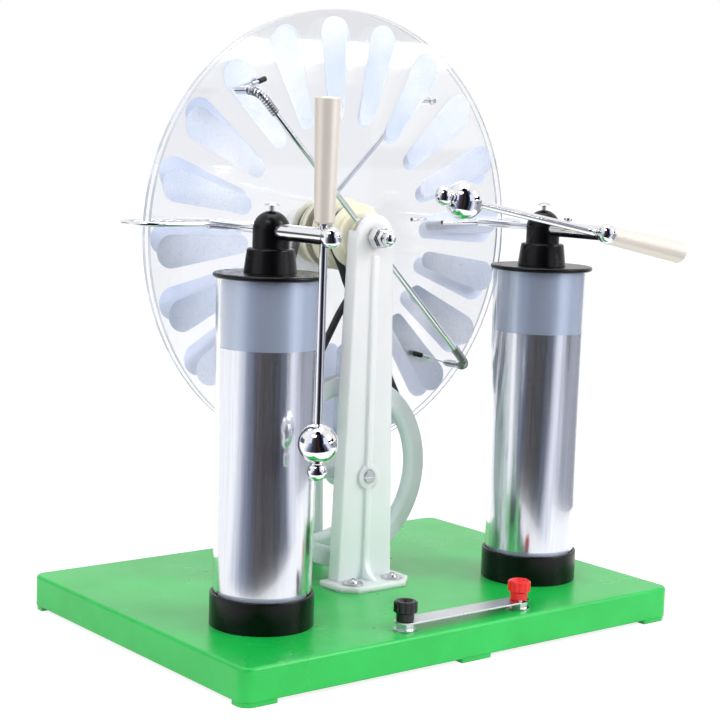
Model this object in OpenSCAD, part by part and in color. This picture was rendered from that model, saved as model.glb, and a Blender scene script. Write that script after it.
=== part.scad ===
// Influence (electrostatic) machine of the school kind: two clear discs that turn against each other,
// a two-belt hand drive, two neutralising bars, two collector forks and two capacitor jars.
// X runs to the right along the front edge, Y to the back and Z up. The origin is the middle of the
// base plate, at the level of the table. Everything is in millimetres.

/* [Base plate] */
// Length of the base plate along its front edge
base_w = 356; // [330:1:400]
// Depth of the base plate from front to back
base_d = 255; // [245:1:300]
// Height of the moulded plate above its feet
base_h = 20.5; // [16:0.5:30]
// Height of the feet under the plate
foot_h = 3; // [2:0.5:6]
// Wall thickness of the plate's top and skirt
base_wall = 3.2; // [2.4:0.2:4]
// Corner radius of the plate
base_corner = 8; // [5:1:14]
// Rounding of the plate's top edge
base_edge = 2; // [1:0.5:3]
// Thickness of the ribs under the plate
rib_t = 2.4; // [1.6:0.2:3]
// Largest width of a cell between two ribs
rib_pitch = 38; // [24:1:40]
// Length of a foot along the skirt
foot_l = 24; // [16:1:34]
// Width of a foot across the skirt
foot_w = 13; // [9:1:16]

/* [Discs] */
// Radius of each disc
disc_r = 150; // [146:1:152]
// Thickness of each disc
disc_t = 3; // [2:0.5:4]
// Gap between the two discs
disc_gap = 3.7; // [3:0.1:6]
// Height of the disc axle above the base plate
axle_h = 235.5; // [230:0.5:250]
// Distance of the middle of the disc pair behind the middle of the base
disc_y = 33; // [30:0.5:36]
// Number of foil sectors on each disc
sector_n = 20; // [12:1:22]
// Radius from the axle to the centre of a sector's outer end
sector_out = 134.7; // [128:0.1:135]
// Radius from the axle to the centre of a sector's inner end
sector_in = 82; // [78:0.5:90]
// Radius of a sector's round outer end
sector_r_out = 10.8; // [8:0.1:12]
// Radius of a sector's round inner end
sector_r_in = 6; // [5:0.1:8]
// Thickness of the foil
foil_t = 0.3; // [0.2:0.05:0.5]

/* [Axle and hubs] */
// Diameter of the fixed disc axle
axle_d = 8; // [6:0.5:9]
// Radius of the hub's flange against the disc
hub_flange_r = 24.5; // [22:0.5:28]
// Thickness of the hub's flange
hub_flange_t = 4; // [3:0.5:6]
// Wall of the bush pressed in each hub
bush_wall = 1.6; // [1.2:0.1:2.2]
// Radius of a pulley's rim beyond the middle of the belt
pulley_lip = 4; // [3:0.2:5]
// Width of a pulley or wheel rim
rim_w = 10; // [9:0.5:12]

/* [Drive] */
// Height of the drive shaft above the base plate
drive_h = 74.2; // [73:0.2:80]
// Diameter of the drive shaft
shaft_d = 9; // [7:0.5:10]
// Radius of the belt's middle round a drive wheel
wheel_belt_r = 62; // [56:0.5:62.5]
// Radius of the belt's middle round a disc pulley
pulley_belt_r = 18; // [17:0.5:19]
// Distance of a belt's plane from the middle of the disc pair
belt_y = 19; // [17.5:0.5:19.5]
// Diameter of the round belts
belt_d = 5; // [4:0.2:5]
// Radial width of a drive wheel's open ring
wheel_ring = 13.5; // [12:0.5:16]
// Number of spokes in a drive wheel
spoke_n = 3; // [3:1:8]
// Angle of the first spoke
spoke_from = 60; // [0:5:90]
// Width of a spoke
spoke_w = 7; // [5:0.5:9]
// Distance between the drive shaft and the crank pin
crank_r = 52; // [40:1:54]
// Length of the turning grip
grip_l = 50; // [40:1:70]
// Diameter of the turning grip
grip_d = 18; // [14:0.5:20]
// Diameter of the crank pin
pin_d = 6; // [5:0.5:7]

/* [Posts] */
// Distance of a post's outer face from the middle of the disc pair
post_y = 44; // [44:0.5:48]
// Depth of a post from its outer face to its open side
post_depth = 11; // [10.5:0.5:12]
// Wall thickness of a post
post_wall = 3.4; // [2.8:0.2:3.6]
// Radius of a post's round top
post_top_r = 15; // [14:0.5:18]
// Width of a post just above its foot
post_bottom_w = 45; // [42:1:50]
// Width of the rib down the middle of a post
post_rib_w = 4.5; // [3:0.5:7]
// Height of the rib over the post's face
post_rib_h = 2; // [1:0.2:3]
// Width of a post's foot flange
flange_w = 59; // [56:1:70]
// Reach of the foot flange in front of the post's face
flange_reach = 20; // [16:0.5:22]
// Thickness of the foot flange
flange_t = 4; // [4:0.5:7]
// Half the distance between a post's two screws
post_screw_x = 17; // [15:0.5:20]

/* [Capacitor jars] */
// Distance of each jar from the middle of the base
jar_x = 113.8; // [110:0.2:118]
// Distance of the jars in front of the middle of the base
jar_front = 51.9; // [50:0.1:55]
// Outer radius of the clear tube at its bottom
tube_r_low = 30.5; // [28:0.1:32]
// Outer radius of the clear tube at its top
tube_r_top = 32.8; // [31:0.1:33.5]
// Wall thickness of the clear tube
tube_wall = 2.6; // [2:0.1:3]
// Height from the base plate to the underside of the lid
lid_h = 215.1; // [205:0.1:218]
// Height of the foot cup's rim above the base plate
cup_h = 20.4; // [16:0.2:26]
// Wall thickness of the foot cup
cup_wall = 1.8; // [1.6:0.1:3]
// Height of the lower edge of the outer foil above the base plate
foil_low = 22.5; // [21:0.5:30]
// Height of the upper edge of the foils above the base plate
foil_top = 173; // [150:1:190]
// Wall thickness of the inner jar
inner_wall = 2.2; // [1.6:0.1:2.6]
// Thickness of the lid
lid_t = 3; // [2.4:0.2:4]
// How far the lid reaches beyond the tube
lid_over = 2; // [1:0.2:3]

/* [Jar heads] */
// Radius of the cone on the lid at its bottom
cone_r = 16.4; // [15:0.2:18]
// Height of the cone on the lid
cone_h = 15; // [13:0.5:16]
// Radius of the domed head
dome_r = 11.35; // [10.5:0.05:12.5]
// Height of the electrode tube's axis above the top of the lid
tube_axis_h = 25.4; // [24:0.2:27]

/* [Electrodes] */
// Diameter of the tube that swings in the head
arm_d = 10; // [8:0.2:10.6]
// Distance from the jar's axis to the ball on the end of the tube
arm_l = 60; // [58:0.5:70]
// Diameter of the ball on the end of the tube
arm_ball_d = 13; // [12:0.2:14]
// Distance of the discharge rod behind the ball's centre
rod_back = 7; // [6:0.2:9]
// Diameter of the discharge rod
rod_d = 5; // [4:0.2:6]
// Distance from the tube's axis to the centre of the large ball
ball_reach = 122; // [100:1:124]
// Diameter of the large ball
ball_d = 24; // [20:0.5:26]
// Diameter of the small ball
small_ball_d = 12; // [9:0.5:12]
// Length of the insulating handle
handle_l = 73; // [50:1:76]
// Diameter of the handle next to the tube
handle_d_low = 12.3; // [10:0.1:13]
// Diameter of the handle at its end
handle_d_top = 15.5; // [12:0.1:16]

/* [Collectors and neutralisers] */
// Diameter of the collector's rod and fork
fork_d = 3; // [2.6:0.2:4]
// Reach of a fork's closed end from the middle of the machine
fork_out = 165; // [161:0.5:167]
// Reach of a fork's open ends from the middle of the machine
fork_in = 80; // [78:1:92]
// Distance of a fork's arm from the middle of the disc pair
fork_y = 18; // [16:0.5:20]
// Number of points on each arm of a fork
point_n = 8; // [4:1:9]
// Diameter of a neutralising bar
bar_d = 4; // [3:0.2:4.4]
// Reach of the straight part of a neutralising bar
bar_reach = 123; // [110:1:124]
// Radius of the bend at the end of a neutralising bar
bend_r = 8; // [7:0.5:9]
// Length of the ferrule behind the bend
ferrule_l = 17; // [14:0.5:20]
// Radius at which the upper brush touches the sectors
upper_brush_r = 121.5; // [105:0.5:124]
// Radius at which the lower brush touches the sectors
lower_brush_r = 109; // [105:0.5:124]
// Angle by which the upper brush trails its bar
upper_brush_back = 11.5; // [5:0.5:14]
// Angle by which the lower brush trails its bar
lower_brush_back = 6.5; // [5:0.5:14]
// Number of curls in each spring
curl_n = 12; // [8:1:13]
// Diameter of the spring wire
spring_wire = 0.8; // [0.6:0.1:1]

/* [Binding posts] */
// Half the distance between the two binding posts
term_x = 48; // [44:0.5:60]
// Distance of the binding posts from the base's front edge
term_edge = 14.9; // [12:0.1:18]
// Diameter of a knob's fluted collar
knob_d = 15; // [13:0.5:17]
// Diameter of a knob's skirt
skirt_d = 11.3; // [10:0.1:12]
// Height of a knob
knob_h = 12.5; // [12:0.5:16]
// Width of the link strip
link_w = 14; // [12:0.5:15]
// Diameter of the plug sockets
socket_d = 4; // [3.8:0.1:4.2]

/* [Hidden] */
$fn = 48;
// Clearance of a shaft that turns, between a part and what it sits in, and between bodies that pass
run_gap = 0.05;
seat_gap = 0.15;
pass_gap = 0.3;

base_top = foot_h + base_h;
axle_z = base_top + axle_h;
drive_z = base_top + drive_h;
jar_y = -jar_front;
head_z = base_top + lid_h + lid_t + tube_axis_h;

// The front half lies in front of disc_y, and the back half is the same turned half round
disc_face = disc_y - disc_gap / 2 - disc_t;
front_belt_y = disc_y - belt_y;
post_out = disc_y - post_y;
post_in = post_out + post_depth;
post_web = post_out + post_wall;

// Outer radius of the clear tube at height z, and of each layer inside it
cup_floor = base_top + 4;
lid_z = base_top + lid_h;
function tube_r(z) = tube_r_low + (tube_r_top - tube_r_low) * (z - cup_floor) / (lid_z - cup_floor);
outer_foil_in = tube_wall + seat_gap;
inner_jar_in = outer_foil_in + foil_t + seat_gap;
inner_foil_in = inner_jar_in + inner_wall + seat_gap;
inner_floor = cup_floor + inner_wall;

// ---------- placing helpers ----------

// A plane shape drawn in X and Z, made h thick from y0 towards the back
module xz_plate(y0, h) {
    translate([0, y0 + h, 0]) rotate([90, 0, 0]) linear_extrude(h) children();
}
// Something that stands along local +Z, laid along +Y from y0 at height z
module along_y(y0, z) {
    translate([0, y0, z]) rotate([-90, 0, 0]) children();
}
module rod_y(y0, y1, z, r) {
    along_y(y0, z) cylinder(r = r, h = y1 - y0);
}
// The back half is the front half turned round the upright through the middle of the discs
module at_back() {
    translate([0, 2 * disc_y, 0]) rotate([0, 0, 180]) children();
}
module both_sides() {
    for (side = [-1, 1]) translate([side * jar_x, jar_y, 0]) children();
}
// A round rod between two points
module rod_between(a, b, r) {
    d = b - a;
    length = norm(d);
    translate(a) rotate([0, acos(d.z / length), atan2(d.y, d.x)]) cylinder(r = r, h = length);
}

// Points along an arc of radius r round [x, 0]
function arc_points(x, r, from, to, n) = [
    for (i = [0 : n]) let (a = from + (to - from) * i / n) [x + r * cos(a), r * sin(a)]
];

function shifted(points, by) = [for (p = points) p + by];

// ---------- swept tubes ----------

function unit(v) = v / norm(v);
function ring(c, n, b, r, sides) = [
    for (k = [0 : sides - 1]) let (a = 360 * k / sides) c + r * (cos(a) * n + sin(a) * b)
];
function tube_faces(rings, sides, closed) = [
    for (i = [0 : rings - (closed ? 1 : 2)]) for (k = [0 : sides - 1])
        let (j = (i + 1) % rings, m = (k + 1) % sides)
        for (t = [[i * sides + k, j * sides + k, j * sides + m],
                  [i * sides + k, j * sides + m, i * sides + m]]) t
];
// Fans of triangles that close the two ends of an open tube
function end_faces(rings, sides) = [
    for (k = [1 : sides - 2]) let (last = (rings - 1) * sides)
        for (t = [[0, k, k + 1], [last, last + k + 1, last + k]]) t
];

// ---------- base ----------

module rounded_rect(w, d, r) {
    square([w - 2 * r, d], center = true);
    square([w, d - 2 * r], center = true);
    for (x = [-1, 1]) for (y = [-1, 1]) translate([x * (w / 2 - r), y * (d / 2 - r)]) circle(r);
}
// A slab with upright round corners and a rounded top edge
module soft_slab(w, d, h, r, edge) {
    linear_extrude(h - edge) rounded_rect(w, d, r);
    linear_extrude(h) rounded_rect(w - 2 * edge, d - 2 * edge, r - edge);
    for (s = [-1, 1]) {
        translate([0, s * (d / 2 - edge), h - edge]) rotate([0, 90, 0])
            cylinder(r = edge, h = w - 2 * r, center = true);
        translate([s * (w / 2 - edge), 0, h - edge]) rotate([90, 0, 0])
            cylinder(r = edge, h = d - 2 * r, center = true);
    }
    for (x = [-1, 1]) for (y = [-1, 1]) translate([x * (w / 2 - r), y * (d / 2 - r), h - edge])
        rotate_extrude() translate([r - edge, 0]) circle(edge);
}

foot_spots = [[-1, -1], [0, -1], [1, -1], [-1, 1], [0, 1], [1, 1]];
module feet() {
    for (s = foot_spots) intersection() {
        linear_extrude(base_h / 2) rounded_rect(base_w - 1, base_d - 1, base_corner);
        translate([s.x * (base_w - foot_l) / 2, s.y * (base_d - foot_w) / 2, 0])
            linear_extrude(base_h / 2) square([foot_l, foot_w], center = true);
    }
    // The pad under the middle rib crossing, between the two posts
    cylinder(r = 9, h = base_h / 2);
}

rib_low = foot_h + 4;
ribs_x = 2 * ceil(base_w / 2 / (rib_pitch + rib_t));
ribs_y = 2 * ceil(base_d / 2 / (rib_pitch + rib_t));
module ribs() {
    inner_w = base_w - base_wall;
    inner_d = base_d - base_wall;
    translate([0, 0, rib_low]) linear_extrude(base_top - rib_low - base_wall / 2) {
        for (i = [1 : ribs_x - 1]) translate([(i / ribs_x - 0.5) * inner_w, 0])
            square([rib_t, inner_d], center = true);
        for (i = [1 : ribs_y - 1]) translate([0, (i / ribs_y - 0.5) * inner_d])
            square([inner_w, rib_t], center = true);
    }
}

post_screw_y = post_out - flange_reach + 11;
post_screw_r = 2;
screw_boss_r = 5.5;
screw_depth = 14;
module post_screw_spots() {
    for (x = [-1, 1]) translate([x * post_screw_x, post_screw_y, 0]) children();
}

term_y = -base_d / 2 + term_edge;
stud_r = 3;
jar_screw_r = 2.5;
strip_t = 1;
strip_w = 8;
strip_ear = 0.8;
strip_z = base_top - base_wall - strip_t - seat_gap;
// The outline of one contact strip under the plate, from the binding post to the jar's screw
module strip_path(side, w, z0, z1) {
    run = [side * (jar_x - term_x), jar_y - term_y];
    translate([side * term_x, term_y, z0]) rotate(atan2(run.y, run.x)) {
        translate([0, -w / 2, 0]) cube([norm(run), w, z1 - z0]);
        for (x = [0, norm(run)]) translate([x, 0, 0]) cylinder(d = w + 2 * strip_ear, h = z1 - z0);
    }
}

module base_plate() {
    color("#3fbf6f") difference() {
        union() {
            difference() {
                translate([0, 0, foot_h]) soft_slab(base_w, base_d, base_h, base_corner, base_edge);
                translate([0, 0, foot_h - 1]) linear_extrude(base_h + 1 - base_wall)
                    rounded_rect(base_w - 2 * base_wall, base_d - 2 * base_wall, base_corner - base_wall / 2);
            }
            feet();
            ribs();
            for (turn = [0, 1]) base_screw_bosses(turn);
        }
        for (turn = [0, 1]) base_screw_holes(turn);
        for (side = [-1, 1]) {
            strip_path(side, strip_w + 4, rib_low - 1, base_top - base_wall);
            translate([side * jar_x, jar_y, 0]) cylinder(r = jar_screw_r + seat_gap, h = base_top + 1);
            translate([side * term_x, term_y, 0]) cylinder(r = stud_r + seat_gap, h = base_top + 1);
        }
    }
}
module base_screw_bosses(turn) {
    post_foot(turn) post_screw_spots()
        translate([0, 0, base_top - screw_depth]) cylinder(r = screw_boss_r, h = screw_depth - base_wall / 2);
}
module base_screw_holes(turn) {
    post_foot(turn) post_screw_spots()
        translate([0, 0, base_top - screw_depth + 1.5]) cylinder(r = post_screw_r + run_gap, h = screw_depth);
}
// Turn 0 is the front post and turn 1 the back post
module post_foot(turn) {
    if (turn == 0) children();
    if (turn == 1) at_back() children();
}

// ---------- posts ----------

// Where a straight side from (half, foot) touches the round top
function top_touch(half, r) =
    let (rise = base_top + flange_t - axle_z, a = atan2(rise, half) + acos(r / norm([half, rise])))
    [r * cos(a), axle_z + r * sin(a)];
module post_outline(half, r) {
    t = top_touch(half, r);
    polygon([[-half, base_top + flange_t - 1], [half, base_top + flange_t - 1], t, [-t.x, t.y]]);
    translate([0, axle_z]) circle(r);
}
boss_r = 8.5;
boss_h = 1.8;
bar_y = post_web + pass_gap + 3;
bar_swing = 15;
collar_r = 7;
// The fan that a neutralising bar sweeps, with room for the bar's thickness
module bar_fan(angle) {
    half = bar_swing + 12.5;
    far = 3 * post_bottom_w;
    translate([0, axle_z]) polygon([[0, 0], [far * cos(angle - half), far * sin(angle - half)],
        [far * cos(angle + half), far * sin(angle + half)]]);
}
flare = 14;
module post() {
    color([0.90, 0.94, 0.96]) difference() {
        union() {
            difference() {
                xz_plate(post_out, post_depth) post_outline(post_bottom_w / 2, post_top_r);
                xz_plate(post_web, post_depth)
                    post_outline(post_bottom_w / 2 - post_wall, post_top_r - post_wall);
                xz_plate(post_web + 0.2, post_depth) {
                    bar_fan(135);
                    bar_fan(-45);
                }
            }
            rod_y(post_out - boss_h, post_in, drive_z, boss_r);
            post_rib();
            translate([0, 0, base_top]) linear_extrude(flange_t) flange_outline();
        }
        rod_y(post_out - 20, post_in, axle_z, axle_d / 2 + run_gap);
        rod_y(post_out - 20, post_in + 1, drive_z, shaft_d / 2 + seat_gap);
        rod_y(bush_y, post_in + 1, drive_z, drive_bush_r + seat_gap);
        post_screw_spots() cylinder(r = post_screw_r + seat_gap, h = axle_z);
    }
}
module flange_outline() {
    half = flange_w / 2;
    front = post_out - flange_reach;
    cut = 9.5;
    polygon([[-half, post_in], [-half, front + cut], [-half + cut, front], [half - cut, front],
        [half, front + cut], [half, post_in]]);
}
// The rib down the face, with its foot flaring forward onto the flange
module post_rib() {
    low = base_top + flange_t - 1;
    translate([-post_rib_w / 2, post_out - post_rib_h, low])
        cube([post_rib_w, post_rib_h + 1, axle_z - 12 - low]);
    difference() {
        translate([-post_rib_w / 2, post_out - post_rib_h - flare, low])
            cube([post_rib_w, flare + post_rib_h + 1, flare + 1]);
        translate([0, post_out - post_rib_h - flare, low + 1 + flare]) rotate([0, 90, 0])
            cylinder(r = flare, h = post_rib_w + 2, center = true);
    }
}

washer_t = 1.2;
washer_r = 7;
module post_screws() {
    color("silver") for (turn = [0, 1]) post_foot(turn) post_screw_spots()
        translate([0, 0, base_top + flange_t + washer_t]) difference() {
            union() {
                pan_head(3.8, 2.6);
                translate([0, 0, 2 - screw_depth - flange_t])
                    cylinder(r = post_screw_r, h = screw_depth + flange_t);
            }
            for (a = [0, 90]) rotate(a) translate([-2, -0.4, 1.4]) cube([4, 0.8, 2]);
        }
}
// A pan head of radius r and height h that stands on z = 0
module pan_head(r, h) {
    sphere_r = (r * r + h * h) / (2 * h);
    intersection() {
        translate([0, 0, h - sphere_r]) sphere(sphere_r);
        cylinder(r = r, h = h);
    }
}
module post_washers() {
    color([0.7, 0.72, 0.74]) for (turn = [0, 1]) post_foot(turn) post_screw_spots()
        translate([0, 0, base_top + flange_t]) difference() {
            cylinder(r = washer_r, h = washer_t);
            translate([0, 0, -1]) cylinder(r = post_screw_r + seat_gap, h = washer_t + 2);
        }
}

// ---------- axle ----------

axle_r = axle_d / 2;
nut_y = post_out - washer_t;
nut_t = 6;
cap_t = 5;
cap_r = 4.8;
cap_af = 10.4;
module disc_axle() {
    end = nut_y - nut_t - cap_t + 0.8;
    color("silver") rod_y(end, 2 * disc_y - end, axle_z, axle_r);
}
// A hexagon across flats af
module hex_prism(af, h) {
    cylinder(d = af / cos(30), h = h, $fn = 6);
}
module axle_nut_pair() {
    along_y(nut_y - nut_t, axle_z) difference() {
        intersection() {
            hex_prism(13, nut_t);
            translate([0, 0, nut_t / 2]) sphere(7.8);
        }
        translate([0, 0, -1]) cylinder(r = axle_r + run_gap, h = nut_t + 2);
    }
    along_y(nut_y - nut_t - cap_t, axle_z) difference() {
        union() {
            hex_prism(cap_af, cap_t);
            translate([0, 0, -2]) cylinder(r = cap_r, h = 3);
            translate([0, 0, -2]) sphere(cap_r);
        }
        translate([0, 0, 0.6]) cylinder(r = axle_r + run_gap, h = cap_t);
    }
}
module axle_nuts() {
    color("silver") {
        axle_nut_pair();
        at_back() axle_nut_pair();
    }
}
spacer_y = bar_y + 3.2;
hub_y = post_in + 3;
module axle_spacer_set() {
    axle_collar(nut_y, post_out, 6.6);
    axle_collar(spacer_y, hub_y - pass_gap, 6);
}
module axle_collar(y0, y1, r) {
    difference() {
        rod_y(y0, y1, axle_z, r);
        rod_y(y0 - 1, y1 + 1, axle_z, axle_r + run_gap);
    }
}
module axle_spacers() {
    color([0.8, 0.8, 0.82]) {
        axle_spacer_set();
        at_back() axle_spacer_set();
        axle_collar(disc_face + disc_t + pass_gap, 2 * disc_y - disc_face - disc_t - pass_gap, 7);
    }
}

// ---------- discs ----------

spigot_r = 10;
module disc() {
    color([0.85, 0.92, 0.96, 0.4]) difference() {
        rod_y(disc_face, disc_face + disc_t, axle_z, disc_r);
        rod_y(disc_face - 1, disc_face + disc_t + 1, axle_z, spigot_r + seat_gap);
    }
}
// One sector, drawn with the axle at the origin and pointing along X: two round ends and straight sides
module sector() {
    lean = asin((sector_r_out - sector_r_in) / (sector_out - sector_in));
    polygon(concat(arc_points(sector_out, sector_r_out, -90 - lean, 90 + lean, 18),
        arc_points(sector_in, sector_r_in, 90 + lean, 270 - lean, 10)));
}
module sectors(first) {
    color([0.74, 0.80, 0.86]) xz_plate(disc_face - foil_t, foil_t) translate([0, axle_z])
        for (k = [0 : sector_n - 1]) rotate(first + k * 360 / sector_n) sector();
}

bush_r = axle_r + bush_wall;
groove_r = belt_d / 2 + pass_gap;
pulley_rim = pulley_belt_r + pulley_lip;
module hub() {
    color([0.93, 0.91, 0.80]) along_y(hub_y, axle_z) rotate_extrude() difference() {
        hub_profile();
        translate([pulley_belt_r, front_belt_y - hub_y]) {
            circle(groove_r);
            belt_mouth(pulley_lip);
        }
    }
}
module hub_profile() {
    to_disc = disc_face - hub_y;
    bore = bush_r + seat_gap;
    rim = front_belt_y - hub_y;
    translate([bore, 0]) square([spigot_r - bore, to_disc + disc_t]);
    translate([bore, 1.5]) square([pulley_rim - 6 - bore, to_disc - 1.5]);
    translate([bore, rim - rim_w / 2]) square([pulley_rim - bore, rim_w]);
    translate([bore, to_disc - hub_flange_t]) square([hub_flange_r - bore, hub_flange_t]);
}
// The opening of a belt groove towards the rim
module belt_mouth(lip) {
    polygon([[0, -groove_r], [lip + 1, -groove_r - 1.2], [lip + 1, groove_r + 1.2], [0, groove_r]]);
}
module hub_bush() {
    color([0.80, 0.62, 0.30]) difference() {
        rod_y(hub_y, disc_face + disc_t, axle_z, bush_r);
        rod_y(hub_y - 1, disc_face + disc_t + 1, axle_z, axle_r + run_gap);
    }
}

// ---------- belts ----------

belt_drop = axle_z - drive_z;
// Angle of a belt's end on the pulley from the line between the two centres
cross_touch = acos((wheel_belt_r + pulley_belt_r) / belt_drop);
open_touch = acos((wheel_belt_r - pulley_belt_r) / belt_drop);
function on_circle(z, r, a) = [r * cos(a), 0, z + r * sin(a)];
function belt_arc(z, r, from, to, n) = [for (i = [0 : n]) on_circle(z, r, from + (to - from) * i / n)];
// A straight run whose middle bows sideways by bow where it passes the other run, at the share peak
function belt_run(a, b, n, bow, peak) = [
    for (i = [1 : n - 1]) let (s = i / n, t = (s - 0.07) / (2 * (peak - 0.07)))
        a + s * (b - a) + [0, (t > 0 && t < 1) ? bow * pow(sin(180 * t), 2) : 0, 0]
];
function belt_points(crossed) =
    let (up = crossed ? -90 + cross_touch : 90 - open_touch,
        over = crossed ? 360 - 2 * cross_touch : 2 * open_touch,
        low_from = crossed ? 90 - cross_touch : 90 + open_touch,
        low_turn = crossed ? -over : 360 - 2 * open_touch,
        bow = crossed ? belt_d / 2 + pass_gap : 0,
        peak = pulley_belt_r / (pulley_belt_r + wheel_belt_r),
        pulley_arc = belt_arc(axle_z, pulley_belt_r, up, up + over, 18),
        wheel_arc = belt_arc(drive_z, wheel_belt_r, low_from, low_from + low_turn, 30))
    concat(pulley_arc, belt_run(pulley_arc[18], wheel_arc[0], 22, bow, peak),
        wheel_arc, belt_run(pulley_arc[0], wheel_arc[30], 22, -bow, peak));
module belt(crossed, y) {
    sides = 8;
    first = belt_points(crossed);
    // The second run is made from the pulley down, so it is put in the other order
    n = len(first);
    route = [for (i = [0 : n - 1]) i < n - 21 ? first[i] : first[2 * n - 22 - i]];
    points = [for (i = [0 : n - 1])
        let (along = unit(route[(i + 1) % n] - route[(i + n - 1) % n]), out = unit(cross([0, 1, 0], along)))
        each ring(route[i] + [0, y, 0], out, cross(along, out), belt_d / 2, sides)];
    color([0.07, 0.07, 0.08]) polyhedron(points, tube_faces(n, sides, true));
}

// ---------- drive ----------

drive_bush_r = shaft_d / 2 + 1.6;
bush_y = post_out + 1.5;
module drive_bush() {
    color([0.86, 0.84, 0.78]) difference() {
        union() {
            rod_y(bush_y, post_in, drive_z, drive_bush_r);
            rod_y(post_in + seat_gap, post_in + 1, drive_z, boss_r);
            rod_y(post_in - 1, post_in + 1, drive_z, drive_bush_r);
        }
        rod_y(bush_y - 1, post_in + 2, drive_z, shaft_d / 2 + run_gap);
    }
}
module drive_bushes() {
    drive_bush();
    at_back() drive_bush();
}

shaft_front = post_out - boss_h - 0.4;
arm_t = 6;
arm_y = 2 * disc_y - post_out + post_rib_h + 1.7;
module drive_shaft() {
    chamfer = 0.8;
    r = shaft_d / 2;
    length = arm_y + arm_t - shaft_front;
    color("silver") difference() {
        along_y(shaft_front, drive_z) rotate_extrude() polygon([[0, 0], [r - chamfer, 0],
            [r, chamfer], [r, length - chamfer], [r - chamfer, length], [0, length]]);
        translate([-shaft_d, shaft_front - 1, drive_z - 0.6]) cube([2 * shaft_d, 2, 1.2]);
    }
}

wheel_rim = wheel_belt_r + pulley_lip + 0.5;
wheel_hub_r = 12;
// The section of a drive wheel's ring, well rounded towards the spokes and less so at the lips
module ring_outline() {
    in_r = wheel_rim - wheel_ring;
    in_edge = rim_w / 2 - 0.4;
    out_edge = 1.2;
    polygon(concat(
        shifted(arc_points(in_r + in_edge, in_edge, 180, 270, 8), [0, in_edge]),
        shifted(arc_points(wheel_rim - out_edge, out_edge, 270, 360, 5), [0, out_edge]),
        shifted(arc_points(wheel_rim - out_edge, out_edge, 0, 90, 5), [0, rim_w - out_edge]),
        shifted(arc_points(in_r + in_edge, in_edge, 90, 180, 8), [0, rim_w - in_edge])));
}
module drive_wheel() {
    color([0.93, 0.94, 0.95]) difference() {
        union() {
            along_y(front_belt_y - rim_w / 2, drive_z) rotate_extrude() difference() {
                ring_outline();
                translate([wheel_belt_r, rim_w / 2]) {
                    circle(groove_r);
                    belt_mouth(pulley_lip + 0.5);
                }
            }
            rod_y(front_belt_y - 8, front_belt_y + 8, drive_z, wheel_hub_r);
            for (k = [0 : spoke_n - 1]) translate([0, 0, drive_z]) 
                rotate([0, 90 - spoke_from - k * 360 / spoke_n, 0])
                translate([-spoke_w / 2, front_belt_y - 3, 0])
                cube([spoke_w, 6, wheel_rim - wheel_ring + 3]);
        }
        rod_y(front_belt_y - 9, front_belt_y + 9, drive_z, shaft_d / 2 + run_gap);
    }
}

pin_z = drive_z - crank_r;
module crank_arm() {
    color("silver") difference() {
        xz_plate(arm_y, arm_t) {
            translate([0, drive_z]) circle(9);
            translate([0, pin_z]) circle(7);
            translate([0, drive_z]) polygon([[-9, 0], [-7, -crank_r], [7, -crank_r], [9, 0]]);
        }
        rod_y(arm_y - 1, arm_y + arm_t + 1, drive_z, shaft_d / 2 + run_gap);
        rod_y(arm_y - 1, arm_y + arm_t + 1, pin_z, pin_d / 2 + run_gap);
    }
}
grip_y = arm_y + arm_t + 1.2;
pin_head_r = pin_d / 2 + 2;
module crank_pin() {
    color("silver") {
        rod_y(arm_y, grip_y + grip_l + 1.6, pin_z, pin_d / 2);
        rod_y(arm_y + arm_t, grip_y - pass_gap, pin_z, pin_d / 2 + 1.5);
        along_y(grip_y + grip_l + pass_gap, pin_z) pan_head(pin_head_r, 2.4);
    }
}
module crank_grip() {
    r = grip_d / 2;
    waist = 1.2;
    color([0.07, 0.07, 0.08]) along_y(grip_y, pin_z) rotate_extrude() difference() {
        union() {
            translate([pin_d / 2 + run_gap, 0]) square([r - 2 - pin_d / 2, grip_l]);
            translate([pin_d / 2 + run_gap, 2]) square([r - pin_d / 2 - run_gap, grip_l - 4]);
            for (y = [2, grip_l - 2]) translate([r - 2, y]) circle(2);
        }
        // The long shallow waist of the grip, as one arc
        waist_r = (pow(grip_l / 2 - 4, 2) + waist * waist) / (2 * waist);
        translate([r - waist + waist_r, grip_l / 2]) circle(waist_r, $fn = 160);
    }
}

// ---------- jars ----------

module jar_foot(side) {
    color([0.06, 0.06, 0.06]) translate([side * jar_x, jar_y, 0]) difference() {
        union() {
            rotate_extrude() {
                cup_r = tube_r(base_top + cup_h) + seat_gap + cup_wall;
                translate([0, base_top]) square([cup_r, cup_h - 1]);
                translate([0, base_top]) square([cup_r - 1, cup_h]);
                translate([cup_r - 1, base_top + cup_h - 1]) circle(1);
            }
        }
        translate([0, 0, cup_floor]) cylinder(r = tube_r(base_top + cup_h) + seat_gap, h = cup_h);
        cylinder(r = jar_screw_r + run_gap, h = base_top + 3.2);
    }
}
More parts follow.
